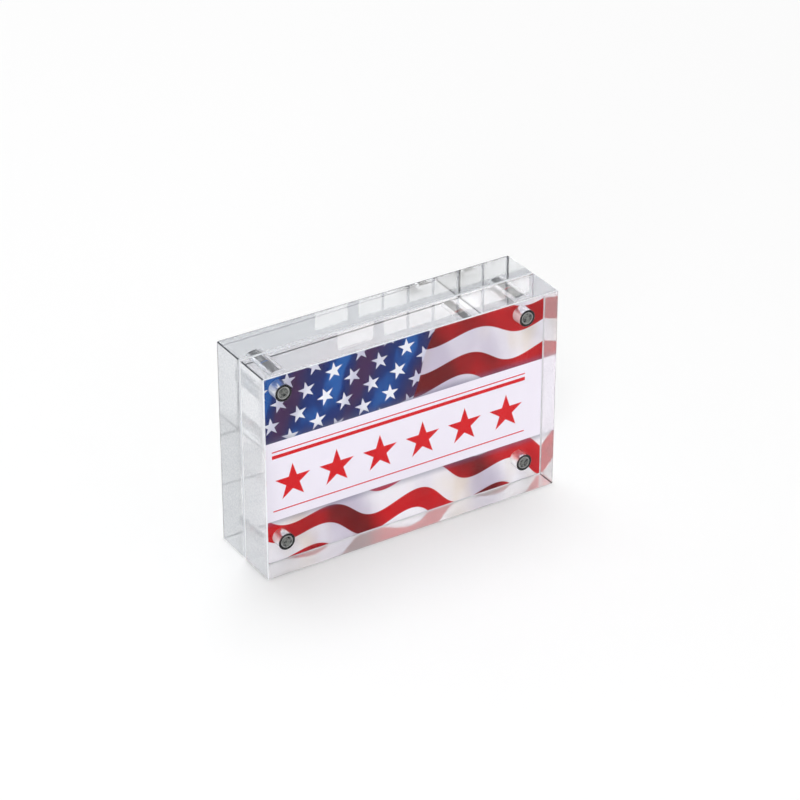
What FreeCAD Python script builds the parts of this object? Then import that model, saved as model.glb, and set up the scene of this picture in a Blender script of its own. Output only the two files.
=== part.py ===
# Acrylic block frame
#
# Two clear slabs stand on their long edge with a printed card between them.
# Magnets in blind bores, one at each corner of each slab, pull the slabs together.
#
# Frame of the part, in millimetres: the origin is under the centre of the block, on the
# surface that it stands on. +X runs along the width, -Y points out of the front, +Z is up.

import FreeCAD, Part
import os

import Sketcher

DRIVING_SIZES = [
    ("block_width", 152.4, "Width of both slabs and of the card"),
    ("block_height", 101.6, "Height of both slabs"),
    ("slab_thickness", 20.0, "Thickness of one slab"),
    ("edge_chamfer", 0.5, "Polished chamfer on every edge of a slab"),
    ("card_thickness", 0.4, "Thickness of the printed card"),
    ("card_clearance", 0.05, "Air between the card and each slab"),
    ("card_setback", 0.3, "How far the card's edges lie behind the slab's edges"),
    ("magnet_diameter", 8.0, "Diameter of a magnet"),
    ("magnet_length", 10.0, "Length of a magnet"),
    ("magnet_rim_chamfer", 0.6, "Chamfer round both ends of a magnet"),
    ("magnet_side_inset", 13.0, "From the slab's left or right face to a bore's axis"),
    ("magnet_end_inset", 13.0, "From the slab's top or bottom face to a bore's axis"),
    ("magnet_recess", 0.05, "How far a magnet's free end lies behind the slab's inner face"),
    ("bore_clearance", 0.1, "Radial air between a magnet and its bore"),
    ("adhesive_thickness", 0.15, "Thickness of the adhesive behind a magnet's stuck end"),
    ("adhesive_climb", 0.45, "How far squeezed-out adhesive climbs the magnet's chamfer"),
    ("adhesive_clearance", 0.02, "Air between the adhesive and the bore and chamfer round it"),
]
VOLUME_TOLERANCE_SHARE = 0.001

# Places that follow from the driving sizes, written as formulas on the sheet's aliases.
HALF_WIDTH = "(Dimensions.block_width / 2)"
INNER_FACE = "(Dimensions.card_thickness / 2 + Dimensions.card_clearance)"
MAGNET_FREE_END = f"({INNER_FACE} + Dimensions.magnet_recess)"
MAGNET_STUCK_END = f"({MAGNET_FREE_END} + Dimensions.magnet_length)"
MAGNET_RADIUS = "(Dimensions.magnet_diameter / 2)"
BORE_RADIUS = f"({MAGNET_RADIUS} + Dimensions.bore_clearance)"
BORE_FLOOR = "(Dimensions.adhesive_thickness + Dimensions.adhesive_clearance)"
BORE_DEPTH = f"(Dimensions.magnet_recess + Dimensions.magnet_length + {BORE_FLOOR})"
MAGNET_SIDE_PLACE = f"({HALF_WIDTH} - Dimensions.magnet_side_inset)"
MAGNET_LOW_PLACE = "Dimensions.magnet_end_inset"
MAGNET_HIGH_PLACE = "(Dimensions.block_height - Dimensions.magnet_end_inset)"

# The adhesive fills the foot of its bore and the lower part of the groove at the chamfer.
ADHESIVE_RADIUS = f"({BORE_RADIUS} - Dimensions.adhesive_clearance)"
ADHESIVE_SEAT = f"({MAGNET_RADIUS} - Dimensions.magnet_rim_chamfer + Dimensions.adhesive_clearance)"

# The four corners as the viewer in front sees them: name, place along X, place along Z.
CORNERS = [
    ("upper_left", f"-{MAGNET_SIDE_PLACE}", MAGNET_HIGH_PLACE),
    ("upper_right", f"+{MAGNET_SIDE_PLACE}", MAGNET_HIGH_PLACE),
    ("lower_left", f"-{MAGNET_SIDE_PLACE}", MAGNET_LOW_PLACE),
    ("lower_right", f"+{MAGNET_SIDE_PLACE}", MAGNET_LOW_PLACE),
]

# The rear half is the front half turned about the vertical: side, sign along Y, turn.
HALVES = [
    ("front", "-", 0),
    ("rear", "+", 180),
]

UP = FreeCAD.Vector(0, 0, 1)

# How a sketch counts the points of an edge, and downwards its root point and upright axis.
START, END, CENTRE = range(1, 4)
ROOT_POINT, VERTICAL_AXIS = range(-1, -3, -1)


def make_sheet(doc):
    """Put every driving size into the sheet, each in a row of its own with an alias."""
    sheet = doc.addObject("Spreadsheet::Sheet", "Dimensions")
    for row, (alias, value, meaning) in enumerate(DRIVING_SIZES, start=1):
        sheet.set(f"A{row}", meaning)
        sheet.set(f"B{row}", str(value))
        sheet.setAlias(f"B{row}", alias)
    doc.recompute()
    return sheet


def new_body(doc, label):
    """Start a body whose label is also its file's name."""
    body = doc.addObject("PartDesign::Body", label)
    body.Label = label
    return body


def new_sketch(body, name, role):
    """Attach a new sketch to one of the body's own origin planes."""
    plane = next(feature for feature in body.Origin.OriginFeatures if feature.Role == role)
    sketch = body.newObject("Sketcher::SketchObject", name)
    sketch.AttachmentSupport = [(plane, "")]
    sketch.MapMode = "FlatFace"
    return sketch


def bind(item, links):
    """Tie properties or named constraints of an item to formulas on the sheet."""
    for name, formula in links.items():
        item.setExpression(name, formula)


def sizes(doc, *formulas):
    """Work out formulas on the sheet as plain numbers."""
    return [float(doc.Dimensions.evalExpression(formula)) for formula in formulas]


def measure(sketch, name, constraint, formula):
    """Add a dimension to a sketch under a name of its own and tie it to the sheet."""
    index = sketch.addConstraint(constraint)
    sketch.renameConstraint(index, name)
    bind(sketch, {f"Constraints.{name}": formula})


def draw_loop(sketch, outline):
    """Draw a closed loop of lines through the points, joined end to end."""
    lines = []
    for start, end in zip(outline, outline[1:] + outline[:1]):
        line = Part.LineSegment(FreeCAD.Vector(*start, 0), FreeCAD.Vector(*end, 0))
        lines.append(sketch.addGeometry(line, False))
    for first, second in zip(lines, lines[1:] + lines[:1]):
        sketch.addConstraint(Sketcher.Constraint("Coincident", first, END, second, START))
    return lines


def draw_upright_rectangle(sketch, width, height, lift):
    """Draw a rectangle centred on the vertical axis, with its foot lifted off the ground."""
    wide, high, low = sizes(sketch.Document, width, height, lift)
    corners = [(-wide / 2, low), (wide / 2, low), (wide / 2, low + high), (-wide / 2, low + high)]
    foot, right, top, left = draw_loop(sketch, corners)
    sketch.addConstraint(Sketcher.Constraint("Horizontal", top))
    for steep in (right, left):
        sketch.addConstraint(Sketcher.Constraint("Vertical", steep))
    sketch.addConstraint(Sketcher.Constraint("Symmetric", foot, START, foot, END, VERTICAL_AXIS))
    across = Sketcher.Constraint("DistanceX", foot, START, foot, END, wide)
    upwards = Sketcher.Constraint("DistanceY", right, START, right, END, high)
    off_ground = Sketcher.Constraint("DistanceY", ROOT_POINT, START, foot, START, low)
    measure(sketch, "width", across, width)
    measure(sketch, "height", upwards, height)
    measure(sketch, "lift", off_ground, lift)


def named_edges(shape, kind):
    """Name the edges of a shape that lie on one kind of curve."""
    return [
        f"Edge{number}"
        for number, edge in enumerate(shape.Edges, start=1)
        if isinstance(edge.Curve, kind)
    ]


def make_slab(doc, side, sign, turn):
    """Cut a slab, polish its edges and bore four blind seats from its inner face."""
    body = new_body(doc, f"{side}_block")
    outline = new_sketch(body, f"{side}_outline", "XZ_Plane")
    draw_upright_rectangle(outline, "Dimensions.block_width", "Dimensions.block_height", "0")

    slab = body.newObject("PartDesign::Pad", f"{side}_slab")
    slab.Profile = outline
    bind(slab, {"Length": "Dimensions.slab_thickness"})
    doc.recompute()

    polished = body.newObject("PartDesign::Chamfer", f"{side}_polished_edges")
    polished.Base = (slab, named_edges(slab.Shape, Part.Line))
    bind(polished, {"Size": "Dimensions.edge_chamfer"})
    doc.recompute()

    mouths = new_sketch(body, f"{side}_bore_mouths", "XZ_Plane")
    for corner, place_x, place_z in CORNERS:
        draw_bore_mouth(mouths, corner, place_x, place_z)
    doc.recompute()

    bores = body.newObject("PartDesign::Hole", f"{side}_bores")
    bores.Profile = mouths
    bores.DepthType = "Dimension"
    bores.DrillPoint = "Flat"
    bores.Reversed = True
    bind(bores, {"Diameter": f"2 * {BORE_RADIUS}", "Depth": BORE_DEPTH})
    body.Tip = bores
    doc.recompute()

    body.Placement = FreeCAD.Placement(FreeCAD.Vector(0, 0, 0), FreeCAD.Rotation(UP, turn))
    bind(body, {"Placement.Base.y": f"{sign}{INNER_FACE}"})
    doc.recompute()
    check_bores(body, polished)
    return body


def draw_bore_mouth(sketch, corner, place_x, place_z):
    """Draw one bore's circle at a corner, tied to the sheet in radius and place."""
    radius, x, z = sizes(sketch.Document, BORE_RADIUS, place_x, place_z)
    circle = sketch.addGeometry(Part.Circle(FreeCAD.Vector(x, z, 0), UP, radius), False)
    rim = Sketcher.Constraint("Radius", circle, radius)
    across = Sketcher.Constraint("DistanceX", ROOT_POINT, START, circle, CENTRE, x)
    upwards = Sketcher.Constraint("DistanceY", ROOT_POINT, START, circle, CENTRE, z)
    measure(sketch, f"{corner}_radius", rim, BORE_RADIUS)
    measure(sketch, f"{corner}_across", across, place_x)
    measure(sketch, f"{corner}_upwards", upwards, place_z)


def check_bores(body, polished):
    """Compare what the bores took away with the volume of their cylinders."""
    bores = body.Tip
    cylinder = Part.makeCylinder(bores.Diameter.Value / 2, bores.Depth.Value)
    expected = len(CORNERS) * cylinder.Volume
    taken = polished.Shape.Volume - body.Shape.Volume
    if abs(taken - expected) > expected * VOLUME_TOLERANCE_SHARE:
        raise RuntimeError(f"{body.Label}: the bores took {taken:.1f} instead of {expected:.1f}")


def make_card(doc):
    """Cut the card that is seen through the front slab, square at its corners."""
    body = new_body(doc, "print_card")
    outline = new_sketch(body, "card_outline", "XZ_Plane")
    draw_upright_rectangle(
        outline,
        "Dimensions.block_width - 2 * Dimensions.card_setback",
        "Dimensions.block_height - 2 * Dimensions.card_setback",
        "Dimensions.card_setback",
    )
    card = body.newObject("PartDesign::Pad", "card_sheet")
    card.Profile = outline
    card.SideType = "Symmetric"
    bind(card, {"Length": "Dimensions.card_thickness"})
    doc.recompute()
    return body


def turn_round(doc, body, name, profile):
    """Turn a half profile once round its vertical axis."""
    turned = body.newObject("PartDesign::Revolution", name)
    turned.Profile = profile
    turned.ReferenceAxis = (profile, ["V_Axis"])
    turned.Angle = 360
    doc.recompute()
    return turned


def seat(body, sign, turn, place_x, depth, place_z):
    """Turn a body to its half of the block and set it at its corner, at a depth along Y."""
    body.Placement = FreeCAD.Placement(FreeCAD.Vector(0, 0, 0), FreeCAD.Rotation(UP, turn))
    bind(body, {
        "Placement.Base.x": place_x,
        "Placement.Base.y": f"{sign}{depth}",
        "Placement.Base.z": place_z,
    })


def make_magnet(doc, side, sign, turn, corner, place_x, place_z):
    """Turn a magnet about its own axis, with chamfered rims, and seat it in its bore."""
    body = new_body(doc, f"{side}_magnet_{corner}")
    profile = new_sketch(body, f"{side}_{corner}_magnet_half_profile", "XY_Plane")
    radius, length = sizes(doc, MAGNET_RADIUS, "Dimensions.magnet_length")
    half_profile = [(0, -length), (radius, -length), (radius, 0), (0, 0)]
    stuck_end, wall, free_end, axis = draw_loop(profile, half_profile)
    for flat in (stuck_end, free_end):
        profile.addConstraint(Sketcher.Constraint("Horizontal", flat))
    profile.addConstraint(Sketcher.Constraint("Vertical", wall))
    profile.addConstraint(Sketcher.Constraint("Coincident", free_end, END, ROOT_POINT, START))
    profile.addConstraint(Sketcher.Constraint("PointOnObject", axis, END, VERTICAL_AXIS))
    outwards = Sketcher.Constraint("DistanceX", stuck_end, START, stuck_end, END, radius)
    along = Sketcher.Constraint("DistanceY", wall, START, wall, END, length)
    measure(profile, "radius", outwards, MAGNET_RADIUS)
    measure(profile, "length", along, "Dimensions.magnet_length")
    turned = turn_round(doc, body, f"{side}_{corner}_magnet_turned", profile)

    rims = body.newObject("PartDesign::Chamfer", f"{side}_{corner}_magnet_rims")
    rims.Base = (turned, named_edges(turned.Shape, Part.Circle))
    bind(rims, {"Size": "Dimensions.magnet_rim_chamfer"})
    doc.recompute()
    seat(body, sign, turn, place_x, MAGNET_FREE_END, place_z)
    return body


def make_adhesive(doc, side, sign, turn, corner, place_x, place_z):
    """Turn the adhesive: a film on the magnet's stuck end, with a ring squeezed out round it."""
    body = new_body(doc, f"{side}_adhesive_{corner}")
    profile = new_sketch(body, f"{side}_{corner}_adhesive_half_profile", "XY_Plane")
    outer, inner = sizes(doc, ADHESIVE_RADIUS, ADHESIVE_SEAT)
    thick, climb = sizes(doc, "Dimensions.adhesive_thickness", "Dimensions.adhesive_climb")
    half_profile = [(0, -thick), (outer, -thick), (outer, climb), (inner + climb, climb), (inner, 0), (0, 0)]
    floor, wall, brim, slope, film, axis = draw_loop(profile, half_profile)
    for flat in (floor, brim, film):
        profile.addConstraint(Sketcher.Constraint("Horizontal", flat))
    profile.addConstraint(Sketcher.Constraint("Vertical", wall))
    profile.addConstraint(Sketcher.Constraint("Coincident", film, END, ROOT_POINT, START))
    profile.addConstraint(Sketcher.Constraint("PointOnObject", axis, END, VERTICAL_AXIS))
    foot_width = Sketcher.Constraint("DistanceX", floor, START, floor, END, outer)
    film_width = Sketcher.Constraint("DistanceX", film, END, film, START, inner)
    film_depth = Sketcher.Constraint("DistanceY", axis, END, axis, START, thick)
    ring_height = Sketcher.Constraint("DistanceY", slope, END, slope, START, climb)
    ring_slant = Sketcher.Constraint("DistanceX", slope, END, slope, START, climb)
    measure(profile, "foot_width", foot_width, ADHESIVE_RADIUS)
    measure(profile, "film_width", film_width, ADHESIVE_SEAT)
    measure(profile, "film_depth", film_depth, "Dimensions.adhesive_thickness")
    measure(profile, "ring_height", ring_height, "Dimensions.adhesive_climb")
    measure(profile, "ring_slant", ring_slant, "Dimensions.adhesive_climb")
    turn_round(doc, body, f"{side}_{corner}_adhesive_turned", profile)
    seat(body, sign, turn, place_x, MAGNET_STUCK_END, place_z)
    return body


def check_document(doc, pieces):
    """Stop unless every object came out and every piece is one valid solid."""
    for item in doc.Objects:
        if "Invalid" in item.State or "Error" in item.State:
            raise RuntimeError(f"{item.Name} failed: {item.State}")
    for piece in pieces:
        if piece.Shape.isNull() or not piece.Shape.isValid():
            raise RuntimeError(f"{piece.Label} has no valid shape")
        if len(piece.Shape.Solids) != 1:
            raise RuntimeError(f"{piece.Label} is not one solid")


def main():
    doc = FreeCAD.newDocument("AcrylicBlockFrame")
    make_sheet(doc)
    pieces = [make_card(doc)]
    for side, sign, turn in HALVES:
        pieces.append(make_slab(doc, side, sign, turn))
        for corner, place_x, place_z in CORNERS:
            pieces.append(make_magnet(doc, side, sign, turn, corner, place_x, place_z))
            pieces.append(make_adhesive(doc, side, sign, turn, corner, place_x, place_z))
    doc.recompute()
    check_document(doc, pieces)

    os.makedirs("parts", exist_ok=True)
    for piece in pieces:
        piece.Shape.exportStep(f"parts/{piece.Label}.step")
        box = piece.Shape.BoundBox
        print(
            f"{piece.Label}: volume {piece.Shape.Volume:.2f},",
            f"x {box.XMin:.2f} to {box.XMax:.2f}, y {box.YMin:.2f} to {box.YMax:.2f},",
            f"z {box.ZMin:.2f} to {box.ZMax:.2f}",
        )


main()
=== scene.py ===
import math

import bmesh
import bpy
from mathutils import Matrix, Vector


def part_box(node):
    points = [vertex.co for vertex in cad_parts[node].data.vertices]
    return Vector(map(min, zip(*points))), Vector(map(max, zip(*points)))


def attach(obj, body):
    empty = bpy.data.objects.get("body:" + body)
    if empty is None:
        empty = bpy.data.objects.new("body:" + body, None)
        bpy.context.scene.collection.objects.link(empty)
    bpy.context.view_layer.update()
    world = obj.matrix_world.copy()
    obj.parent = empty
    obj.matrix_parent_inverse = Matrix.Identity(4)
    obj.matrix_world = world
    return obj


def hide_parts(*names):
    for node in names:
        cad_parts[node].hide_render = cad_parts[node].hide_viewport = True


bl_info = {
    "name": "Acrylic Block Frame",
    "version": (1, 0, 0),
    "blender": (4, 5, 0),
    "location": "3D View > Sidebar > Block Frame",
    "description": "Dresses two clear slabs, their magnets and the printed card between them",
    "category": "Object",
}

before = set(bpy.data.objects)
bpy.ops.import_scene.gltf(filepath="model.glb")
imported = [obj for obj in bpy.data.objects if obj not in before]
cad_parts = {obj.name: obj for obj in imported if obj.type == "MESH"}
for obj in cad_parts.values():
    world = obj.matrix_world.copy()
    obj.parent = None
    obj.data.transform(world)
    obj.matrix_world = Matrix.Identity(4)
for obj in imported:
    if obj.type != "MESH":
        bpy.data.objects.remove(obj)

SIDES = ("front", "rear")
CORNERS = ("upper_left", "upper_right", "lower_left", "lower_right")
MM = 0.001

# Measures of the solids. A depth is taken from the middle of the card, to either side.
SLAB_LOW, SLAB_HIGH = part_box("front_block")
FACE_DEPTH = -SLAB_LOW.y
SEAM_DEPTH = -SLAB_HIGH.y
MIDDLE_HEIGHT = (SLAB_LOW.z + SLAB_HIGH.z) / 2
CARD_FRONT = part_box("print_card")[0].y
MAGNET_LOW, MAGNET_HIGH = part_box("front_magnet_upper_right")
MAGNET_RADIUS = (MAGNET_HIGH.x - MAGNET_LOW.x) / 2
MAGNET_LENGTH = MAGNET_HIGH.y - MAGNET_LOW.y
AXIS_ACROSS = (MAGNET_LOW.x + MAGNET_HIGH.x) / 2                # from the slab's middle
AXIS_UP = (MAGNET_LOW.z + MAGNET_HIGH.z) / 2 - MIDDLE_HEIGHT    # from the slab's middle

# Where one finish, painted shade or painted highlight ends and the next begins.
HARD_EDGE = 0.01 * MM                       # softness of the change between two faces
PRINT_EDGE = 0.12 * MM                      # softness of the ink's edges
SKIN = 0.03 * MM                            # how deep a face's own finish goes
CHAMFER_REACH = 0.6 * MM                    # an edge's chamfer lies within this of both faces
SEAM_REACH = 1 * MM                         # the seam's chamfers lie within this of the seam
# Painted shade: a near-black outline is painted round the back of the top and both ends.
PAINTED_OUTLINE_WIDTH = 0.85 * MM                     # dark line round the back, its chamfer included
BORE_REACH = MAGNET_RADIUS + 0.3 * MM       # a bore's wall lies within this of its axis
BORE_FLOOR = -MAGNET_LOW.y + 0.16 * MM      # a bore's floor lies deeper than this

# The print: the rules along the pale band, and its stars.
RULE_INSET = 4.6 * MM
THIN_RULE = 0.6 * MM
THICK_RULE = 1.8 * MM
RULE_GAP = 1.4 * MM
BAND_SHADOW_REACH = 1.6 * MM
STAR_LEVEL = 0.44                           # height of the large stars on the band, as a share
STAR_POINTS = 5
NOTCH_SHARE = 0.382                         # where a star's notches lie, as a share of its reach

# The magnets' turning.
END_RING = 0.3 * MM                         # keeps the flat ends flat under smooth shading
SOFTENING_STEPS = 3
MERGE = 0.0005 * MM                         # points nearer to each other than this are one

RAGGED_EDGE = 0.15 * MM                     # how far the adhesive's rings stray

# The floor, the lamps and the panes behind the part, in metres.
FLOOR_REACH = 5
FLOOR_DROP = 0.2 * MM
SOFT_LAMPS = {
    "key": ((-0.9, -1.1, 1.7), (0.9, 0.9)),
    "fill": ((-1.2, -1.3, 0.45), (0.8, 0.5)),
    "back": ((0.3, 0.9, 1.9), (1.2, 0.9)),
}
PANE_DISTANCE = 1.2
PANE_HEIGHT = 0.019
BAR_WIDTH = 0.003
FIRST_BAR = 0.7115
BAR_PITCH = 0.0292
BARS = [FIRST_BAR + BAR_PITCH * count for count in range(8)]
LOWER_ROW, LOWER_END_PANE = 0.851, (0.6637, 0.7003)
UPPER_ROW, UPPER_END_PANE = 0.8795, (0.6890, 0.7297)


class SlabFinish(bpy.types.PropertyGroup):
    """How the clear slabs are polished."""
    tint: bpy.props.FloatVectorProperty(
        name="Tint", description="Colour of the clear acrylic", subtype="COLOR", size=3,
        min=0, max=1, default=(0.985, 0.992, 0.995))
    face_roughness: bpy.props.FloatProperty(
        name="Face roughness", description="Haze of the polished large faces", subtype="FACTOR",
        min=0, max=1, default=0.0)
    top_roughness: bpy.props.FloatProperty(
        name="Top roughness", description="Haze of the top face", subtype="FACTOR",
        min=0, max=1, default=0.004)
    left_roughness: bpy.props.FloatProperty(
        name="Left roughness", description="Haze of the sawn left face", subtype="FACTOR",
        min=0, max=1, default=0.04)
    right_roughness: bpy.props.FloatProperty(
        name="Right roughness", description="Haze of the buffed right face", subtype="FACTOR",
        min=0, max=1, default=0.05)
    foot_roughness: bpy.props.FloatProperty(
        name="Foot roughness", description="Haze of the bottom face", subtype="FACTOR",
        min=0, max=1, default=0.08)
    bore_roughness: bpy.props.FloatProperty(
        name="Bore roughness", description="Haze that the drill leaves on the bores' walls",
        subtype="FACTOR", min=0, max=1, default=0.16)
    floor_roughness: bpy.props.FloatProperty(
        name="Bore floor roughness", description="Haze of the bores' floors, which the adhesive "
        "wets", subtype="FACTOR", min=0, max=1, default=0.02)
    chamfer_roughness: bpy.props.FloatProperty(
        name="Chamfer roughness", description="Haze of the ground chamfers", subtype="FACTOR",
        min=0, max=1, default=0.3)
    top_milk: bpy.props.FloatProperty(
        name="Top milk", description="Share of light that the top face scatters",
        subtype="FACTOR", min=0, max=1, default=0.05)
    left_milk: bpy.props.FloatProperty(
        name="Left milk", description="Share of light that the sawn left face scatters",
        subtype="FACTOR", min=0, max=1, default=0.4)
    right_milk: bpy.props.FloatProperty(
        name="Right milk", description="Share of light that the buffed right face scatters",
        subtype="FACTOR", min=0, max=1, default=0.36)
    foot_milk: bpy.props.FloatProperty(
        name="Foot milk", description="Share of light that the bottom face scatters",
        subtype="FACTOR", min=0, max=1, default=0.5)
    bore_milk: bpy.props.FloatProperty(
        name="Bore milk", description="Share of light that the bores' walls scatter",
        subtype="FACTOR", min=0, max=1, default=0.6)
    crown_milk: bpy.props.FloatProperty(
        name="Bore crown milk", description="What is left of the bore milk above the magnets",
        subtype="FACTOR", min=0, max=1, default=0.12)
    floor_milk: bpy.props.FloatProperty(
        name="Bore floor milk", description="Share of light that the bores' floors scatter",
        subtype="FACTOR", min=0, max=1, default=0.0)
    chamfer_milk: bpy.props.FloatProperty(
        name="Chamfer milk", description="Share of light that the chamfers scatter",
        subtype="FACTOR", min=0, max=1, default=0.85)
    # Painted shade: this near-black gives the outer edges dark outlines; the chamfers beside the
    # card keep a pale tint.
    chamfer_tint: bpy.props.FloatVectorProperty(
        name="Chamfer tint", description="Colour of the ground chamfers", subtype="COLOR", size=3,
        min=0, max=1, default=(0.05, 0.055, 0.065))
    # Painted highlight: these chamfers are painted pale to make a light line along the front's top
    # and left edges.
    crest_highlight_tint: bpy.props.FloatVectorProperty(
        name="Crest tint", description="Colour of the better buffed chamfers at the top and left "
        "of the front face", subtype="COLOR", size=3, min=0, max=1, default=(0.80, 0.82, 0.85))
    seam_tint: bpy.props.FloatVectorProperty(
        name="Seam tint", description="Colour of the chamfers beside the card", subtype="COLOR",
        size=3, min=0, max=1, default=(0.66, 0.68, 0.72))
    # Painted shade: the seam's chamfers are painted darker at the right and below, away from the
    # light.
    seam_shaded_tint: bpy.props.FloatVectorProperty(
        name="Seam tint at right and foot", description="Colour of the chamfers beside the card, "
        "right and below", subtype="COLOR", size=3, min=0, max=1, default=(0.62, 0.61, 0.64))
    # Painted shade: the top face is tinted darker, bluish grey.
    top_tint: bpy.props.FloatVectorProperty(
        name="Top tint", description="Colour of the top face", subtype="COLOR", size=3,
        min=0, max=1, default=(0.78, 0.81, 0.87))
    # Painted shade: the left face is tinted darker, bluish grey; the right face and the foot stay
    # near the acrylic's own colour.
    left_tint: bpy.props.FloatVectorProperty(
        name="Left tint", description="Colour of the left face", subtype="COLOR", size=3,
        min=0, max=1, default=(0.76, 0.785, 0.82))
    right_tint: bpy.props.FloatVectorProperty(
        name="Right tint", description="Colour of the right face", subtype="COLOR", size=3,
        min=0, max=1, default=(0.98, 0.98, 0.98))
    foot_tint: bpy.props.FloatVectorProperty(
        name="Foot tint", description="Colour of the bottom face", subtype="COLOR", size=3,
        min=0, max=1, default=(0.98, 0.98, 0.98))


class PrintDesign(bpy.types.PropertyGroup):
    """Sizes and colours of the stars and stripes on the card."""
    red: bpy.props.FloatVectorProperty(
        name="Red", description="Colour of the stripes", subtype="COLOR", size=3,
        min=0, max=1, default=(0.60, 0.005, 0.010))
    white: bpy.props.FloatVectorProperty(
        name="White", description="Colour between the stripes", subtype="COLOR", size=3,
        min=0, max=1, default=(0.93, 0.89, 0.94))
    cream: bpy.props.FloatVectorProperty(
        name="Cream", description="Colour of the yellowed patches between the stripes",
        subtype="COLOR", size=3, min=0, max=1, default=(0.90, 0.80, 0.72))
    red_fold: bpy.props.FloatVectorProperty(
        name="Red fold", description="What a fold's full shade leaves of the red",
        subtype="COLOR", size=3, min=0, max=1, default=(0.25, 0.20, 0.25))
    white_fold: bpy.props.FloatVectorProperty(
        name="White fold", description="What a fold's full shade leaves of the white",
        subtype="COLOR", size=3, min=0, max=1, default=(0.62, 0.58, 0.67))
    blue: bpy.props.FloatVectorProperty(
        name="Blue", description="Colour of the field of stars", subtype="COLOR", size=3,
        min=0, max=1, default=(0.006, 0.027, 0.165))
    dusky_blue: bpy.props.FloatVectorProperty(
        name="Dusky blue", description="Colour of the field where its folds turn away",
        subtype="COLOR", size=3, min=0, max=1, default=(0.022, 0.024, 0.110))
    plum: bpy.props.FloatVectorProperty(
        name="Plum", description="Colour of the field at the bottom of its folds",
        subtype="COLOR", size=3, min=0, max=1, default=(0.056, 0.020, 0.080))
    bright_blue: bpy.props.FloatVectorProperty(
        name="Bright blue", description="Colour of the field on the crests of its folds",
        subtype="COLOR", size=3, min=0, max=1, default=(0.018, 0.105, 0.38))
    star_white: bpy.props.FloatVectorProperty(
        name="Star white", description="Colour of the small stars on the crests",
        subtype="COLOR", size=3, min=0, max=1, default=(0.88, 0.88, 0.92))
    star_shade: bpy.props.FloatVectorProperty(
        name="Star shade", description="Colour of the small stars between the crests",
        subtype="COLOR", size=3, min=0, max=1, default=(0.58, 0.57, 0.70))
    band: bpy.props.FloatVectorProperty(
        name="Band", description="Colour of the pale band", subtype="COLOR", size=3,
        min=0, max=1, default=(0.93, 0.87, 0.96))
    band_shadow: bpy.props.FloatVectorProperty(
        name="Band shadow", description="Colour of the shadow beside the pale band",
        subtype="COLOR", size=3, min=0, max=1, default=(0.10, 0.10, 0.19))
    ornament_red: bpy.props.FloatVectorProperty(
        name="Ornament red", description="Colour of the ornament on the band",
        subtype="COLOR", size=3, min=0, max=1, default=(0.70, 0.004, 0.009))
    paper: bpy.props.FloatVectorProperty(
        name="Paper", description="Colour of the paper behind", subtype="COLOR", size=3,
        min=0, max=1, default=(0.915, 0.915, 0.905))
    paper_shade: bpy.props.FloatVectorProperty(
        name="Paper shade", description="Colour of the paper's darker fibres", subtype="COLOR",
        size=3, min=0, max=1, default=(0.875, 0.875, 0.86))
    print_roughness: bpy.props.FloatProperty(
        name="Print roughness", description="How matt the printed front is", subtype="FACTOR",
        min=0, max=1, default=0.38)
    paper_roughness: bpy.props.FloatProperty(
        name="Paper roughness", description="How matt the plain back is", subtype="FACTOR",
        min=0, max=1, default=0.72)
    band_foot: bpy.props.FloatProperty(
        name="Band foot", description="Height of the band's lower edge", subtype="DISTANCE",
        unit="LENGTH", default=21.5 * MM)
    band_top: bpy.props.FloatProperty(
        name="Band top", description="Height of the band's upper edge", subtype="DISTANCE",
        unit="LENGTH", default=61.5 * MM)
    stripe_pitch: bpy.props.FloatProperty(
        name="Stripe pitch", description="From one red stripe to the next", subtype="DISTANCE",
        unit="LENGTH", default=21.5 * MM)
    red_share: bpy.props.FloatProperty(
        name="Red share", description="Share of the stripe pitch that is red", subtype="FACTOR",
        min=0, max=1, default=0.47)
    star_reach: bpy.props.FloatProperty(
        name="Star reach", description="From the middle of a small star to its points",
        subtype="DISTANCE", unit="LENGTH", default=4.5 * MM)
    star_pitch: bpy.props.FloatProperty(
        name="Star pitch", description="From one small star to the next in its row",
        subtype="DISTANCE", unit="LENGTH", default=14.5 * MM)
    star_row_pitch: bpy.props.FloatProperty(
        name="Star row pitch", description="From one row of small stars to the next",
        subtype="DISTANCE", unit="LENGTH", default=8.99 * MM)
    large_star_reach: bpy.props.FloatProperty(
        name="Large star reach", description="From the middle of a star on the band to its points",
        subtype="DISTANCE", unit="LENGTH", default=9.4 * MM)
    large_star_pitch: bpy.props.FloatProperty(
        name="Large star pitch", description="From one star on the band to the next",
        subtype="DISTANCE", unit="LENGTH", default=22.5 * MM)
    ornament_reach: bpy.props.FloatProperty(
        name="Ornament reach", description="From the card's middle to the ends of the ornament",
        subtype="DISTANCE", unit="LENGTH", default=66.5 * MM)


class MagnetShape(bpy.types.PropertyGroup):
    """How a plated magnet is shaped and finished."""
    chamfer: bpy.props.FloatProperty(
        name="Chamfer", description="Chamfer round both ends", subtype="DISTANCE", unit="LENGTH",
        default=0.6 * MM)
    softening: bpy.props.FloatProperty(
        name="Softening", description="Rounding that the plating leaves on the chamfer's edges",
        subtype="DISTANCE", unit="LENGTH", default=0.16 * MM)
    steps: bpy.props.IntProperty(
        name="Steps", description="Steps once round the magnet", min=16, max=256, default=96)
    # Painted shade: the nickel is much darker than bright nickel, in place of the dark
    # surroundings that it would mirror.
    plating: bpy.props.FloatVectorProperty(
        name="Plating", description="Colour of the nickel", subtype="COLOR", size=3,
        min=0, max=1, default=(0.17, 0.17, 0.167))
    dull_plating: bpy.props.FloatVectorProperty(
        name="Dull plating", description="Colour towards which the nickel's dull spots go",
        subtype="COLOR", size=3, min=0, max=1, default=(0.16, 0.155, 0.145))


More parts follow.
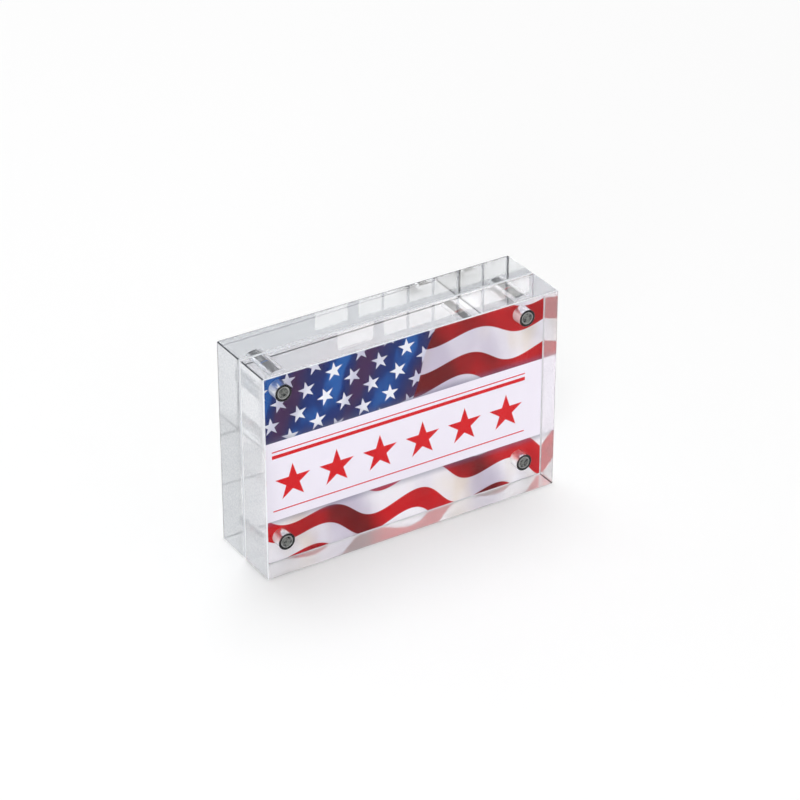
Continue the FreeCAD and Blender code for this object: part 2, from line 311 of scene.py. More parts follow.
class AdhesiveFinish(bpy.types.PropertyGroup):
    """How the adhesive looks through the bores' floors."""
    paste: bpy.props.FloatVectorProperty(
        name="Paste", description="Colour of the adhesive in the middle", subtype="COLOR",
        size=3, min=0, max=1, default=(0.21, 0.215, 0.20))
    mottling: bpy.props.FloatVectorProperty(
        name="Mottling", description="Colour of the dark spots in the middle", subtype="COLOR",
        size=3, min=0, max=1, default=(0.012, 0.013, 0.015))
    ring: bpy.props.FloatVectorProperty(
        name="Ring", description="Colour of the pale ring", subtype="COLOR", size=3,
        min=0, max=1, default=(0.42, 0.42, 0.41))
    ring_mottling: bpy.props.FloatVectorProperty(
        name="Ring mottling", description="Colour of the darker spots in the pale ring",
        subtype="COLOR", size=3, min=0, max=1, default=(0.22, 0.22, 0.21))
    # Partly painted shade: the adhesive in the chamfer's corner is real, but its near-black stands
    # in for the dark rim that the magnet's chamfer mirrors.
    outside: bpy.props.FloatVectorProperty(
        name="Outside", description="Colour outside the pale ring", subtype="COLOR", size=3,
        min=0, max=1, default=(0.003, 0.003, 0.004))
    ring_from: bpy.props.FloatProperty(
        name="Ring from", description="Radius at which the pale ring begins", subtype="DISTANCE",
        unit="LENGTH", default=2.5 * MM)
    ring_to: bpy.props.FloatProperty(
        name="Ring to", description="Radius at which the pale ring ends", subtype="DISTANCE",
        unit="LENGTH", default=2.95 * MM)


class StageSettings(bpy.types.PropertyGroup):
    """The floor, the light and the camera."""
    floor_colour: bpy.props.FloatVectorProperty(
        name="Floor", description="Colour of the floor", subtype="COLOR", size=3,
        min=0, max=1, default=(0.94, 0.94, 0.94))
    daylight: bpy.props.FloatProperty(
        name="Daylight", description="Strength of the light from all round", min=0, default=0.64)
    key_power: bpy.props.FloatProperty(
        name="Key power", description="Power of the soft key lamp", subtype="POWER", unit="POWER",
        min=0, default=12.0)
    fill_power: bpy.props.FloatProperty(
        name="Fill power", description="Power of the soft low lamp at the front", subtype="POWER",
        unit="POWER", min=0, default=5.0)
    back_power: bpy.props.FloatProperty(
        name="Back power", description="Power of the soft lamp above and behind", subtype="POWER",
        unit="POWER", min=0, default=12.0)
    ceiling: bpy.props.FloatProperty(
        name="Ceiling", description="Brightness of the mirrored ceiling against the walls",
        subtype="FACTOR", min=0, max=1, default=0.35)
    pane_glow: bpy.props.FloatProperty(
        name="Pane glow", description="Brightness of the small panes that the top face mirrors",
        min=0, default=3.0)
    pane_colour: bpy.props.FloatVectorProperty(
        name="Pane colour", description="Colour of the small panes", subtype="COLOR", size=3,
        min=0, max=1, default=(1.0, 0.97, 0.9))
    eye: bpy.props.FloatVectorProperty(
        name="Eye", description="Where the camera stands", subtype="TRANSLATION", unit="LENGTH",
        size=3, default=(-0.6113, -0.9792, 0.7274))
    target: bpy.props.FloatVectorProperty(
        name="Target", description="What the camera looks at", subtype="TRANSLATION",
        unit="LENGTH", size=3, default=(0.0051, 0.0, 0.0569))
    sensor: bpy.props.FloatProperty(
        name="Sensor", description="Width of the camera's sensor", unit="CAMERA", min=1,
        default=36.0)
    lens: bpy.props.FloatProperty(
        name="Lens", description="Focal length of the camera", unit="CAMERA", min=1,
        default=134.2)


class Wiring:
    """Builds the nodes of one material, or of the world, and joins them."""

    def __init__(self, owner):
        self.owner = owner
        owner.use_nodes = True
        self.tree = owner.node_tree
        self.tree.nodes.clear()

    def node(self, kind, settings=None, **inputs):
        """Add a node; a name in inputs is the socket's own, with underscores for spaces."""
        made = self.tree.nodes.new(kind)
        for name, value in (settings or {}).items():
            setattr(made, name, value)
        for name, value in inputs.items():
            self.put(made.inputs[name.replace("_", " ")], value)
        return made

    def put(self, socket, value):
        """Join a socket to another, or set it to a value."""
        if isinstance(value, bpy.types.NodeSocket):
            self.tree.links.new(value, socket)
        else:
            socket.default_value = value

    def math(self, operation, *values):
        """Work with one, two or three numbers."""
        made = self.node("ShaderNodeMath", {"operation": operation})
        for socket, value in zip(made.inputs, values):
            self.put(socket, value)
        return made.outputs[0]

    def fold(self, operation, first, *others):
        """Work through some numbers, two at a time."""
        for other in others:
            first = self.math(operation, first, other)
        return first

    def total(self, *values):
        """Add numbers up."""
        return self.fold("ADD", *values)

    def product(self, *values):
        """Multiply numbers."""
        return self.fold("MULTIPLY", *values)

    def largest(self, *values):
        """The largest of some numbers."""
        return self.fold("MAXIMUM", *values)

    def less(self, first, second):
        """A first number less a second one."""
        return self.math("SUBTRACT", first, second)

    def line(self, value, slope, start):
        """A number that starts at one value and grows with another."""
        return self.math("MULTIPLY_ADD", value, slope, start)

    def step(self, value, edge, width):
        """0 below an edge and 1 above it, with a soft rise of the given width."""
        made = self.node(
            "ShaderNodeMapRange", {"interpolation_type": "SMOOTHSTEP"}, Value=value,
            From_Min=edge - width / 2, From_Max=edge + width / 2)
        return made.outputs[0]

    def below(self, value, edge, width):
        """1 below an edge and 0 above it."""
        return self.less(1.0, self.step(value, edge, width))

    def between(self, value, low, high, width):
        """1 between two edges and 0 outside them."""
        return self.less(self.step(value, low, width), self.step(value, high, width))

    def mix(self, share, first, second, blend="MIX"):
        """Blend two colours."""
        made = self.node("ShaderNodeMix", {"data_type": "RGBA", "blend_type": blend})
        self.put(made.inputs[0], share)
        self.put(made.inputs[6], colour(first))
        self.put(made.inputs[7], colour(second))
        return made.outputs[2]

    def blend(self, share, first, second):
        """Go from a first number to a second by a share."""
        return self.node(
            "ShaderNodeMapRange", Value=share, To_Min=first, To_Max=second).outputs[0]

    def vary(self, share, spread):
        """Go from 1 less a spread to 1 and the spread, by a share."""
        return self.blend(share, 1 - spread, 1 + spread)

    def place(self):
        """The place on the part, in metres."""
        return self.node("ShaderNodeTexCoord").outputs["Object"]

    def parts(self, vector):
        """The three numbers of a vector."""
        return self.node("ShaderNodeSeparateXYZ", Vector=vector).outputs[:]

    def noise(self, place, scale, detail, stretch=(1, 1, 1), turn=(0, 0, 0), roughness=0.5):
        """Cloudy noise, stretched and turned."""
        mapping = self.node("ShaderNodeMapping", Vector=place, Rotation=turn, Scale=stretch)
        made = self.node(
            "ShaderNodeTexNoise", Vector=mapping.outputs[0], Scale=scale, Detail=detail,
            Roughness=roughness)
        return made.outputs["Fac"]

    def bump(self, height, depth):
        """Turn a height from 0 to 1 into relief of the given depth in metres."""
        made = self.node("ShaderNodeBump", Height=height, Distance=depth, Strength=1.0)
        return made.outputs["Normal"]

    def rays(self, *kinds):
        """1 for a ray of one of some kinds, and 0 for any other."""
        path = self.node("ShaderNodeLightPath")
        return self.largest(*[path.outputs[kind] for kind in kinds])

    def mix_surfaces(self, share, first, second):
        """Blend two surfaces."""
        made = self.node("ShaderNodeMixShader")
        for socket, value in zip(made.inputs, (share, first.outputs[0], second.outputs[0])):
            self.put(socket, value)
        return made

    def finish(self, surface):
        """Join the surface to the output and hand the material over."""
        self.node("ShaderNodeOutputMaterial", Surface=surface.outputs[0])
        return self.owner


def colour(value):
    """A colour as a socket takes it."""
    if isinstance(value, bpy.types.NodeSocket):
        return value
    return (*value, 1.0)


def distance(wiring, across, up):
    """Distance of a point from the origin of two coordinates."""
    squares = [wiring.product(value, value) for value in (across, up)]
    return wiring.math("SQRT", wiring.total(*squares))


def wave(wiring, value, length, height, start=0.0):
    """A sine wave along a value in metres, which starts at an angle."""
    angle = wiring.line(value, slope=2 * math.pi / length, start=start)
    return wiring.product(wiring.math("SINE", angle), height)


def from_step_middle(wiring, value, pitch):
    """How far a value is past the middle of the step that it is in, where steps repeat."""
    return wiring.less(wiring.math("FLOORED_MODULO", value, pitch), pitch / 2)


def above_magnet_axis(wiring, up):
    """Height above the nearer of the two levels of the magnet axes."""
    height = wiring.less(up, MIDDLE_HEIGHT)
    level = wiring.product(wiring.math("SIGN", height), AXIS_UP)
    return wiring.less(height, level)


def from_magnet_axis(wiring, across, up):
    """Distance from the nearest of the four magnet axes."""
    aside = wiring.less(wiring.math("ABSOLUTE", across), AXIS_ACROSS)
    return distance(wiring, aside, above_magnet_axis(wiring, up))


def slab_zones(wiring, across, deep, up):
    """The places on the slabs that have a finish, a painted shade or a painted highlight of their
    own: 1 inside each, 0 outside.
    """
    inwards = {
        "top": wiring.less(SLAB_HIGH.z, up),
        "left": wiring.less(across, SLAB_LOW.x),
        "right": wiring.less(SLAB_HIGH.x, across),
        "foot": wiring.less(up, SLAB_LOW.z),
    }
    depth = wiring.math("ABSOLUTE", deep)
    from_face = wiring.math(
        "MINIMUM", wiring.less(depth, SEAM_DEPTH), wiring.less(FACE_DEPTH, depth))
    off_face = wiring.step(from_face, SKIN, HARD_EDGE)
    rims = {
        side: wiring.product(off_face, wiring.below(inward, SKIN, HARD_EDGE))
        for side, inward in inwards.items()}

    drilled = wiring.product(
        off_face, wiring.below(from_magnet_axis(wiring, across, up), BORE_REACH, HARD_EDGE))
    floor = wiring.product(drilled, wiring.step(depth, BORE_FLOOR, HARD_EDGE))
    bore = wiring.less(drilled, floor)
    above = wiring.step(above_magnet_axis(wiring, up), edge=2.6 * MM, width=1.6 * MM)

    chamfer = wiring.less(off_face, wiring.total(drilled, *rims.values()))
    at_edge = {
        side: wiring.below(inward, CHAMFER_REACH, HARD_EDGE) for side, inward in inwards.items()}
    at_seam = wiring.below(depth, SEAM_DEPTH + SEAM_REACH, HARD_EDGE)
    at_front = wiring.below(deep, CHAMFER_REACH - FACE_DEPTH, HARD_EDGE)
    at_back = wiring.step(deep, FACE_DEPTH - PAINTED_OUTLINE_WIDTH, HARD_EDGE)
    return rims | {
        "off_face": off_face,
        "floor": floor,
        "bore": bore,
        "crown": wiring.product(bore, above),
        "chamfer": chamfer,
        "seam": wiring.product(chamfer, at_seam),
        # Right and bottom edges, where the seam's chamfers get painted shade.
        "shaded_right_and_foot": wiring.largest(at_edge["right"], at_edge["foot"]),
        # Painted highlight on the chamfers at the top and left of the front face.
        "highlit_crest": wiring.product(
            chamfer, at_front, wiring.largest(at_edge["left"], at_edge["top"])),
        # Painted shade: a near-black outline along the back edges of the top and both ends.
        "painted_dark_outline": wiring.product(
            wiring.total(rims["left"], rims["right"], rims["top"]), at_back),
    }


def clear_acrylic(finish):
    """Clear acrylic: polished faces, sawn or buffed rims, ground chamfers, drilled bores. Painted
    shade darkens the top, the left face, the outer chamfers, a line round the back and the seam's
    chamfers at right and below; a painted highlight lightens the chamfers at the top and left of
    the front face.
    """
    wiring = Wiring(bpy.data.materials.new("clear_acrylic"))
    place = wiring.place()
    zones = slab_zones(wiring, *wiring.parts(place))
    rims = ("top", "left", "right", "foot", "chamfer")
    buffing = wiring.noise(place, scale=900, detail=3, stretch=(0.06, 1, 0.06))
    grain = wiring.noise(place, scale=1400, detail=2)

    haze, milk = [
        wiring.total(*[
            wiring.product(zones[zone], getattr(finish, f"{zone}_{quality}"))
            for zone in ("bore", "floor", *rims)])
        for quality in ("roughness", "milk")]
    streaks = wiring.vary(buffing, spread=0.45)
    roughness = wiring.total(wiring.product(haze, streaks), finish.face_roughness)
    milk = wiring.product(milk, wiring.blend(zones["crown"], 1.0, finish.crown_milk))
    milk = wiring.largest(milk, wiring.product(zones["painted_dark_outline"], finish.chamfer_milk))
    scattered = wiring.product(milk, wiring.vary(grain, spread=0.3))

    tint = finish.tint
    # Painted shade: the outer chamfers' near-black tint gives the edges dark outlines.
    for zone in rims:
        # The top and left faces' darker bluish tints are painted shade.
        tint = wiring.mix(zones[zone], tint, getattr(finish, f"{zone}_tint"))
    # Painted shade: the dark outline round the back takes the chamfers' near-black tint.
    tint = wiring.mix(zones["painted_dark_outline"], tint, finish.chamfer_tint)
    # Painted shade on the seam's chamfers at the right and below.
    seam = wiring.mix(zones["shaded_right_and_foot"], finish.seam_tint, finish.seam_shaded_tint)
    tint = wiring.mix(zones["seam"], tint, seam)
    # Painted highlight along the front's top and left edges.
    tint = wiring.mix(zones["highlit_crest"], tint, finish.crest_highlight_tint)

    polished_off_top = 0.85
    uneven = wiring.line(zones["top"], slope=-polished_off_top, start=zones["off_face"])
    relief = wiring.product(wiring.total(buffing, grain), uneven)
    acrylic = wiring.node(
        "ShaderNodeBsdfPrincipled",
        Base_Color=tint,
        Roughness=roughness,
        IOR=1.49,
        Specular_Tint=(0.1, 0.1, 0.1, 1),
        Transmission_Weight=wiring.less(1.0, scattered),
        Normal=wiring.bump(relief, depth=0.004 * MM),
    )
    shade = wiring.node("ShaderNodeBsdfTransparent", Color=(0.95, 0.96, 0.965, 1))
    return wiring.finish(wiring.mix_surfaces(wiring.rays("Is Shadow Ray"), acrylic, shade))


def star(wiring, across, up, reach, turn=0.0):
    """1 inside a five-pointed star that points up, round the origin of two coordinates."""
    sector = 2 * math.pi / STAR_POINTS
    notch = NOTCH_SHARE * reach
    bearing = wiring.total(wiring.math("ARCTAN2", across, up), turn)
    off_point = wiring.math(
        "ABSOLUTE", from_step_middle(wiring, wiring.total(bearing, sector / 2), sector))
    span = distance(wiring, across, up)
    along = wiring.product(span, wiring.math("COSINE", off_point))
    aside = wiring.product(span, wiring.math("SINE", off_point))
    edge = Vector((
        notch * math.cos(sector / 2) - reach, notch * math.sin(sector / 2))).normalized()
    outside = wiring.less(
        wiring.product(wiring.less(along, reach), edge.y), wiring.product(aside, edge.x))
    return wiring.below(outside, edge=0.0, width=PRINT_EDGE)


def band_middle(design):
    """Height of the middle of the pale band."""
    return (design.band_foot + design.band_top) / 2


def striped_cloth(wiring, design, place, across, up):
    """Red and white stripes that fan out and wave, with folds shaded across them."""
    fan = wiring.product(across, wiring.line(up, slope=2.2, start=-0.222))
    slanted = wiring.line(up, slope=-0.42, start=across)
    swell = wiring.line(up, slope=-0.026, start=4.8 * MM)
    lift = wiring.total(
        wiring.product(wave(wiring, slanted, length=49 * MM, height=1.0, start=0.92), swell),
        wave(wiring, across, length=97 * MM, height=1.1 * MM, start=0.4),
        fan)
    level = wiring.total(wiring.less(up, lift), 5.2 * MM)
    off_middle = wiring.math("ABSOLUTE", from_step_middle(wiring, level, design.stripe_pitch))
    stripe = wiring.below(
        off_middle, edge=design.stripe_pitch * design.red_share / 2, width=0.35 * MM)

    over_folds = wiring.line(up, slope=0.45, start=across)
    clouds = wiring.noise(place, scale=45, detail=3, stretch=(1, 1, 0.45))
    folds = wiring.total(
        wave(wiring, over_folds, length=74 * MM, height=0.33, start=0.9),
        wave(wiring, over_folds, length=33 * MM, height=0.17, start=2.0),
        wiring.line(clouds, slope=0.9, start=0.12))
    upper = wiring.step(up, edge=band_middle(design), width=1 * MM)
    folds = wiring.line(upper, slope=-0.3, start=folds)
    calm = wiring.blend(wiring.step(across, edge=58 * MM, width=20 * MM), 1.0, 0.3)
    shadow = wiring.product(wiring.below(folds, edge=0.45, width=0.75), calm)

    patches = wiring.step(
        wiring.noise(place, scale=38, detail=2, stretch=(1.3, 1, 0.6)), edge=0.6, width=0.3)
    ground = wiring.mix(patches, design.white, design.cream)
    cloth = wiring.mix(stripe, ground, design.red)
    full_shade = wiring.mix(stripe, design.white_fold, design.red_fold)
    shade = wiring.mix(shadow, (1.0, 1.0, 1.0), full_shade)
    cloth = wiring.mix(1.0, cloth, shade, blend="MULTIPLY")
    threads = wiring.vary(wiring.noise(place, scale=2400, detail=1), spread=0.06)
    grey = wiring.node("ShaderNodeCombineXYZ", X=threads, Y=threads, Z=threads).outputs[0]
    return wiring.mix(1.0, cloth, grey, blend="MULTIPLY")


def starry_field(wiring, design, place, across, up):
    """Staggered white stars on blue cloth with slanting folds."""
    tilt = math.radians(17)
    lifted = wiring.total(up, wave(wiring, across, length=52 * MM, height=1.2 * MM, start=1.0))
    along = wiring.total(
        wiring.product(across, math.cos(tilt)), wiring.product(lifted, math.sin(tilt)))
    height = wiring.less(
        wiring.product(lifted, math.cos(tilt)), wiring.product(across, math.sin(tilt)))
    row = wiring.math("FLOOR", wiring.math("DIVIDE", height, design.star_row_pitch))
    shifted = wiring.line(row, slope=design.star_pitch / 2, start=along)
    column = wiring.math("FLOOR", wiring.math("DIVIDE", shifted, design.star_pitch))
    uneven = wiring.math("SINE", wiring.line(row, slope=1.9, start=column))
    stars = star(
        wiring,
        from_step_middle(wiring, shifted, design.star_pitch),
        from_step_middle(wiring, height, design.star_row_pitch),
        design.star_reach,
        turn=wiring.line(uneven, slope=0.16, start=-0.4 * tilt))

    over_folds = wiring.line(up, slope=-0.56, start=across)
    ruffle = wiring.noise(
        place, scale=42, detail=3, stretch=(1.5, 1, 0.6), turn=(0, math.radians(-29), 0))
    ridges = wiring.total(
        wave(wiring, over_folds, length=35.2 * MM, height=0.55, start=3.96),
        wiring.blend(ruffle, -1.4, 1.4))
    cloth = wiring.mix(
        wiring.step(ridges, edge=0.1, width=0.9), design.dusky_blue, design.blue)
    cloth = wiring.mix(wiring.below(ridges, edge=-0.35, width=0.6), cloth, design.plum)
    cloth = wiring.mix(wiring.step(ridges, edge=0.52, width=0.4), cloth, design.bright_blue)
    white = wiring.mix(
        wiring.step(ridges, edge=0.0, width=1.2), design.star_shade, design.star_white)
    return wiring.mix(stars, cloth, white)


def band_ornament(wiring, design, across, up):
    """A row of large stars between thin rules, on the pale band."""
    low, high = design.band_foot, design.band_top
    star_height = low + (high - low) * STAR_LEVEL
    stars = star(
        wiring, from_step_middle(wiring, across, design.large_star_pitch),
        wiring.less(up, star_height), design.large_star_reach)
    thin_top = high - RULE_INSET
    thick_top = thin_top - THIN_RULE - RULE_GAP
    rules = (
        (thick_top - THICK_RULE, thick_top),
        (thin_top - THIN_RULE, thin_top),
        (low + RULE_INSET, low + RULE_INSET + THIN_RULE))
    drawn = wiring.largest(
        stars, *[wiring.between(up, foot, top, PRINT_EDGE) for foot, top in rules])
    ends = wiring.below(
        wiring.math("ABSOLUTE", across), edge=design.ornament_reach, width=0.1 * MM)
    return wiring.product(drawn, ends)


def printed_card(design):
    """Stars and stripes with a pale band on the card's front, plain white paper behind."""
    wiring = Wiring(bpy.data.materials.new("printed_card"))
    place = wiring.place()
    across, deep, up = wiring.parts(place)
    stripes = striped_cloth(wiring, design, place, across, up)
    field = starry_field(wiring, design, place, across, up)
    field_edge = wiring.total(
        wiring.line(up, slope=0.36, start=-16.5 * MM),
        wave(wiring, up, length=30 * MM, height=0.7 * MM))
    left_of_edge = wiring.step(wiring.less(field_edge, across), edge=0.0, width=0.5 * MM)
    upper = wiring.step(up, edge=band_middle(design), width=0.1 * MM)
    picture = wiring.mix(wiring.product(left_of_edge, upper), stripes, field)

    near_band = wiring.between(
        up, design.band_foot - BAND_SHADOW_REACH, design.band_top + BAND_SHADOW_REACH,
        width=4.5 * MM)
    shadow = wiring.product(near_band, 0.55)
    picture = wiring.mix(shadow, picture, design.band_shadow)
    on_band = wiring.between(up, design.band_foot, design.band_top, PRINT_EDGE)
    picture = wiring.mix(on_band, picture, design.band)
    marks = wiring.product(band_ornament(wiring, design, across, up), on_band)
    picture = wiring.mix(marks, picture, design.ornament_red)

    fibre = wiring.noise(place, scale=1600, detail=5, stretch=(0.3, 1, 1), roughness=0.7)
    paper = wiring.mix(
        wiring.step(fibre, edge=0.55, width=0.5), design.paper_shade, design.paper)
    in_front = wiring.below(deep, CARD_FRONT + SKIN, HARD_EDGE)
    roughness = wiring.blend(in_front, design.paper_roughness, design.print_roughness)
    surface = wiring.node(
        "ShaderNodeBsdfPrincipled",
        Base_Color=wiring.mix(in_front, paper, picture),
        Specular_IOR_Level=0.05,
        Roughness=wiring.product(roughness, wiring.vary(fibre, spread=0.1)),
        Normal=wiring.bump(fibre, depth=0.006 * MM),
    )
    return wiring.finish(surface)


def nickel_plate(shape):
    """Nickel darkened as painted shade, with fine turning lines and a few dull spots."""
    wiring = Wiring(bpy.data.materials.new("nickel_plate"))
    place = wiring.place()
    lines = wiring.noise(place, scale=3200, detail=2, stretch=(0.05, 1, 0.05))
    dull = wiring.step(wiring.noise(place, scale=420, detail=3), edge=0.62, width=0.16)
    surface = wiring.node(
        "ShaderNodeBsdfPrincipled",
        # The plating colour is darkened nickel, a painted shade.
        Base_Color=wiring.mix(wiring.product(dull, 0.5), shape.plating, shape.dull_plating),
        Metallic=1.0,
        Roughness=wiring.line(dull, slope=0.14, start=wiring.blend(lines, 0.10, 0.22)),
        Normal=wiring.bump(lines, depth=0.003 * MM),
    )
    return wiring.finish(surface)


def dark_adhesive(finish):
    """Dark adhesive: mottled where it wets the bore's floor, paler at the rim, near-black outside,
    where the real adhesive also carries painted shade for the magnet rim's dark reflection.
    """
    wiring = Wiring(bpy.data.materials.new("dark_adhesive"))
    place = wiring.place()
    across, _, up = wiring.parts(place)
    straying = wiring.blend(wiring.noise(place, scale=600, detail=2), -RAGGED_EDGE, RAGGED_EDGE)
    radius = wiring.total(from_magnet_axis(wiring, across, up), straying)
    mottle = wiring.noise(place, scale=800, detail=4, roughness=0.7)
    middle = wiring.mix(
        wiring.step(mottle, edge=0.5, width=0.22), finish.mottling, finish.paste)
    ring = wiring.mix(
        wiring.step(mottle, edge=0.5, width=0.5), finish.ring_mottling, finish.ring)
    shade = wiring.mix(wiring.step(radius, finish.ring_from, RAGGED_EDGE), middle, ring)
    # Near-black outside the pale ring: real adhesive, darkened as painted shade for the magnet's
    # dark rim.
    shade = wiring.mix(wiring.step(radius, finish.ring_to, RAGGED_EDGE), shade, finish.outside)
    surface = wiring.node(
        "ShaderNodeBsdfPrincipled",
        Base_Color=shade,
        Specular_IOR_Level=0.1,
        Roughness=wiring.blend(mottle, 0.32, 0.62),
        Normal=wiring.bump(mottle, depth=0.03 * MM),
    )
    return wiring.finish(surface)


def pale_floor(settings):
    """Matt pale floor that keeps the shadow near the part and runs out into white."""
    wiring = Wiring(bpy.data.materials.new("pale_floor"))
    place = wiring.place()
    across, deep, _ = wiring.parts(place)
    clouds = wiring.noise(place, scale=3, detail=3)
    clouded = 0.985
    dimmer = [part * clouded for part in settings.floor_colour]
    matt = wiring.node(
        "ShaderNodeBsdfPrincipled",
        Base_Color=wiring.mix(clouds, dimmer, settings.floor_colour),
        Roughness=0.9,
        Specular_IOR_Level=0.0,
    )
    white = wiring.node("ShaderNodeEmission", Color=(1, 1, 1, 1), Strength=1.0)
    seen = wiring.rays("Is Camera Ray", "Is Glossy Ray", "Is Transmission Ray")
    far = wiring.step(distance(wiring, across, deep), edge=0.75, width=0.9)
    return wiring.finish(wiring.mix_surfaces(wiring.product(seen, far), matt, white))


def coat(piece, material):
    """Give every slot of a piece the same material."""
    if not piece.material_slots:
        piece.data.materials.append(material)
    for slot in piece.material_slots:
        slot.material = material


def make_piece(name, mesh_work):
    """Hand a bmesh over to a new object at the origin."""
    mesh = bpy.data.meshes.new(name)
    mesh_work.to_mesh(mesh)
    mesh_work.free()
    piece = bpy.data.objects.new(name, mesh)
    bpy.context.scene.collection.objects.link(piece)
    return piece


def turned_magnet(shape, low, high):
    """Spin a magnet's half profile round an axis along Y, in the middle of a box."""
    work = bmesh.new()
    rim = MAGNET_RADIUS - shape.chamfer
    axis_to_rim = [(0, 0), (rim - END_RING, 0), (rim, 0), (MAGNET_RADIUS, shape.chamfer)]
    rim_to_axis = [(across, MAGNET_LENGTH - along) for across, along in reversed(axis_to_rim)]
    points = [
        work.verts.new((across, along, 0)) for across, along in axis_to_rim + rim_to_axis]
    for first, second in zip(points, points[1:]):
        work.edges.new((first, second))
    chamfer_corners = points[2:6]
    bmesh.ops.bevel(
        work, geom=chamfer_corners, offset=shape.softening, offset_type="OFFSET",
        segments=SOFTENING_STEPS, profile=0.5, affect="VERTICES", material=-1)
    bmesh.ops.spin(
        work, geom=work.verts[:] + work.edges[:], axis=(0, 1, 0), cent=(0, 0, 0),
        angle=2 * math.pi, steps=shape.steps, use_merge=True)
    bmesh.ops.remove_doubles(work, verts=work.verts, dist=MERGE)
    bmesh.ops.recalc_face_normals(work, faces=work.faces)
    for face in work.faces:
        face.smooth = True
    middle = (low + high) / 2
    bmesh.ops.translate(work, verts=work.verts, vec=(middle.x, low.y, middle.z))
    return work


def turn_towards(thing, target):
    """Turn a lamp or camera from its place towards a target."""
    towards = Vector(target) - thing.location
    thing.rotation_euler = towards.to_track_quat("-Z", "Y").to_euler()


class BLOCKFRAME_OT_stage(bpy.types.Operator):
    """Set up the pale floor, the soft light and the camera"""
    bl_idname = "blockframe.stage"
    bl_label = "Stage"

    def execute(self, context):
        settings = context.scene.block_frame_stage
        scene = context.scene
        scene.view_settings.view_transform = "Standard"
        scene.cycles.max_bounces = 32
        scene.cycles.glossy_bounces = 28
        scene.cycles.transmission_bounces = 28
        scene.cycles.transparent_max_bounces = 16

        work = bmesh.new()
        bmesh.ops.create_grid(work, x_segments=1, y_segments=1, size=FLOOR_REACH)
        bmesh.ops.translate(work, verts=work.verts, vec=(0, 0, -FLOOR_DROP))
        floor = make_piece("floor", work)
        coat(floor, pale_floor(settings))

        self.light_all_round(scene, settings)
        for name, (place, size) in SOFT_LAMPS.items():
            power = getattr(settings, f"{name}_power")
            self.add_lamp(f"{name}_lamp", place, (0, 0, MIDDLE_HEIGHT), size, power)
        self.add_panes(settings)
        self.add_camera(scene, settings)
        return {"FINISHED"}

    def light_all_round(self, scene, settings):
        """White to the camera and in reflections, dimmer overhead and where it only lights."""
        scene.world = bpy.data.worlds.new("daylight")
        wiring = Wiring(scene.world)
        mirrored = wiring.rays("Is Glossy Ray", "Is Transmission Ray")
        seen = wiring.largest(wiring.rays("Is Camera Ray"), mirrored)
        direction = wiring.node("ShaderNodeTexCoord").outputs["Generated"]
        upwards = wiring.parts(direction)[2]
        overhead = wiring.product(wiring.step(upwards, edge=0.45, width=0.6), mirrored)
        strength = wiring.product(
            wiring.blend(seen, settings.daylight, 1.0),
            wiring.blend(overhead, 1.0, settings.ceiling))
        background = wiring.node("ShaderNodeBackground", Color=(1, 1, 1, 1), Strength=strength)
        wiring.node("ShaderNodeOutputWorld", Surface=background.outputs[0])

    def add_panes(self, settings):
        """Hang two rows of small panes where the right of the top face mirrors them."""
        half_bar = BAR_WIDTH / 2
        panes = [(left + half_bar, right - half_bar) for left, right in zip(BARS, BARS[1:])]
        rows = (
            ("lower", LOWER_ROW, [LOWER_END_PANE, *panes]),
            ("upper", UPPER_ROW, [UPPER_END_PANE, *panes[1:]]))
        for row, up, spans in rows:
            for column, (left, right) in enumerate(spans):
                width = right - left
                place = Vector(((left + right) / 2, PANE_DISTANCE, up))
                pane = self.add_lamp(
                    f"pane_{row}_{column}", place, place - Vector((0, 1, 0)),
                    (width, PANE_HEIGHT), settings.pane_glow * math.pi * width * PANE_HEIGHT)
                pane.data.color = settings.pane_colour

    def add_lamp(self, name, place, target, size, power):
        """Hang a rectangular soft lamp that faces a target."""
        light = bpy.data.lights.new(name, "AREA")
        light.shape = "RECTANGLE"
        light.size, light.size_y = size
        light.energy = power
        lamp = bpy.data.objects.new(name, light)
        lamp.location = place
        turn_towards(lamp, target)
        lamp.visible_camera = False
        bpy.context.scene.collection.objects.link(lamp)
        return lamp

    def add_camera(self, scene, settings):
        """Look at the part from the left, above its front."""
        data = bpy.data.cameras.new("camera")
        data.lens = settings.lens
        data.sensor_width = settings.sensor
        camera = bpy.data.objects.new("camera", data)
        camera.location = settings.eye
        turn_towards(camera, settings.target)
        scene.collection.objects.link(camera)
        scene.camera = camera


class BLOCKFRAME_OT_slabs(bpy.types.Operator):
    """Polish the two clear slabs"""
    bl_idname = "blockframe.slabs"
    bl_label = "Clear slabs"

    def execute(self, context):
        material = clear_acrylic(context.scene.block_frame_slabs)
        for side in SIDES:
            coat(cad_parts[f"{side}_block"], material)
        return {"FINISHED"}


class BLOCKFRAME_OT_card(bpy.types.Operator):
    """Print the card"""
    bl_idname = "blockframe.card"
    bl_label = "Printed card"

    def execute(self, context):
        coat(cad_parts["print_card"], printed_card(context.scene.block_frame_print))
        return {"FINISHED"}


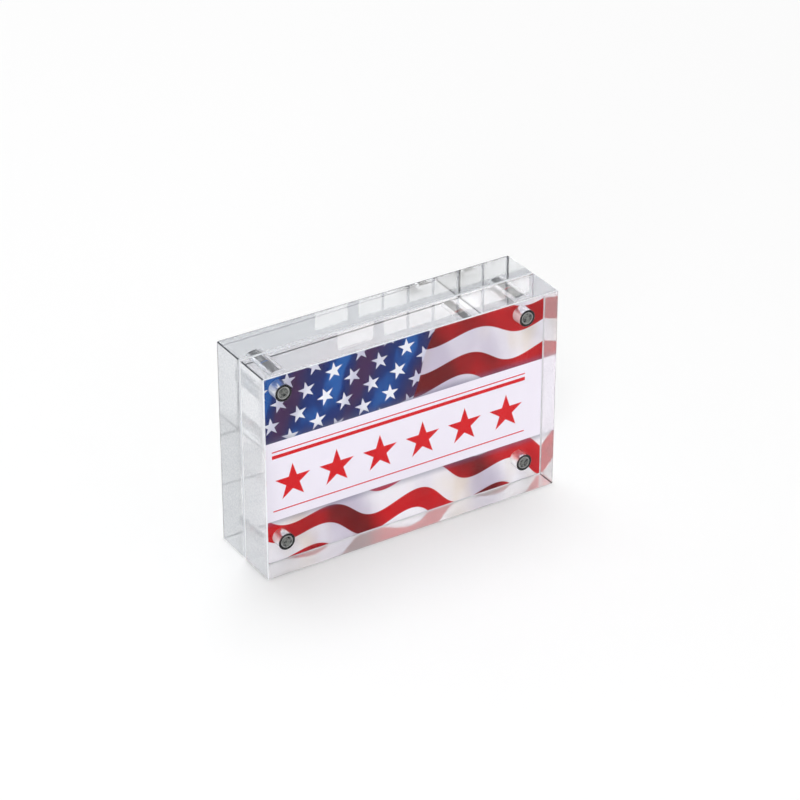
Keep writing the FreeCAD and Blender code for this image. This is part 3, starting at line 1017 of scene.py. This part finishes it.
class BLOCKFRAME_OT_magnets(bpy.types.Operator):
    """Turn and plate the eight magnets"""
    bl_idname = "blockframe.magnets"
    bl_label = "Magnets"

    def execute(self, context):
        shape = context.scene.block_frame_magnets
        material = nickel_plate(shape)
        for side in SIDES:
            for corner in CORNERS:
                node = f"{side}_magnet_{corner}"
                magnet = make_piece(f"{node}_plated", turned_magnet(shape, *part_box(node)))
                coat(magnet, material)
                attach(magnet, f"{side}_half")
                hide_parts(node)
        return {"FINISHED"}


class BLOCKFRAME_OT_adhesive(bpy.types.Operator):
    """Colour the adhesive behind the magnets"""
    bl_idname = "blockframe.adhesive"
    bl_label = "Adhesive"

    def execute(self, context):
        material = dark_adhesive(context.scene.block_frame_adhesive)
        for side in SIDES:
            for corner in CORNERS:
                coat(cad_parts[f"{side}_adhesive_{corner}"], material)
        return {"FINISHED"}


OPERATORS = (
    BLOCKFRAME_OT_stage, BLOCKFRAME_OT_slabs, BLOCKFRAME_OT_card, BLOCKFRAME_OT_magnets,
    BLOCKFRAME_OT_adhesive)


class BLOCKFRAME_PT_sidebar(bpy.types.Panel):
    """Lists the steps that dress the block frame"""
    bl_idname = "BLOCKFRAME_PT_sidebar"
    bl_label = "Block Frame"
    bl_space_type = "VIEW_3D"
    bl_region_type = "UI"
    bl_category = "Block Frame"

    def draw(self, context):
        for operator in OPERATORS:
            self.layout.operator(operator.bl_idname)


SETTINGS = {
    "block_frame_slabs": SlabFinish,
    "block_frame_print": PrintDesign,
    "block_frame_magnets": MagnetShape,
    "block_frame_adhesive": AdhesiveFinish,
    "block_frame_stage": StageSettings,
}


def register():
    for group in SETTINGS.values():
        bpy.utils.register_class(group)
    for name, group in SETTINGS.items():
        setattr(bpy.types.Scene, name, bpy.props.PointerProperty(type=group))
    for operator in OPERATORS:
        bpy.utils.register_class(operator)
    bpy.utils.register_class(BLOCKFRAME_PT_sidebar)


def unregister():
    bpy.utils.unregister_class(BLOCKFRAME_PT_sidebar)
    for operator in reversed(OPERATORS):
        bpy.utils.unregister_class(operator)
    for name, group in reversed(SETTINGS.items()):
        delattr(bpy.types.Scene, name)
        bpy.utils.unregister_class(group)


def main():
    register()
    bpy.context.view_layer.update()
    bpy.ops.blockframe.stage()
    bpy.ops.blockframe.slabs()
    bpy.ops.blockframe.card()
    bpy.ops.blockframe.magnets()
    bpy.ops.blockframe.adhesive()


if __name__ == "__main__":
    main()
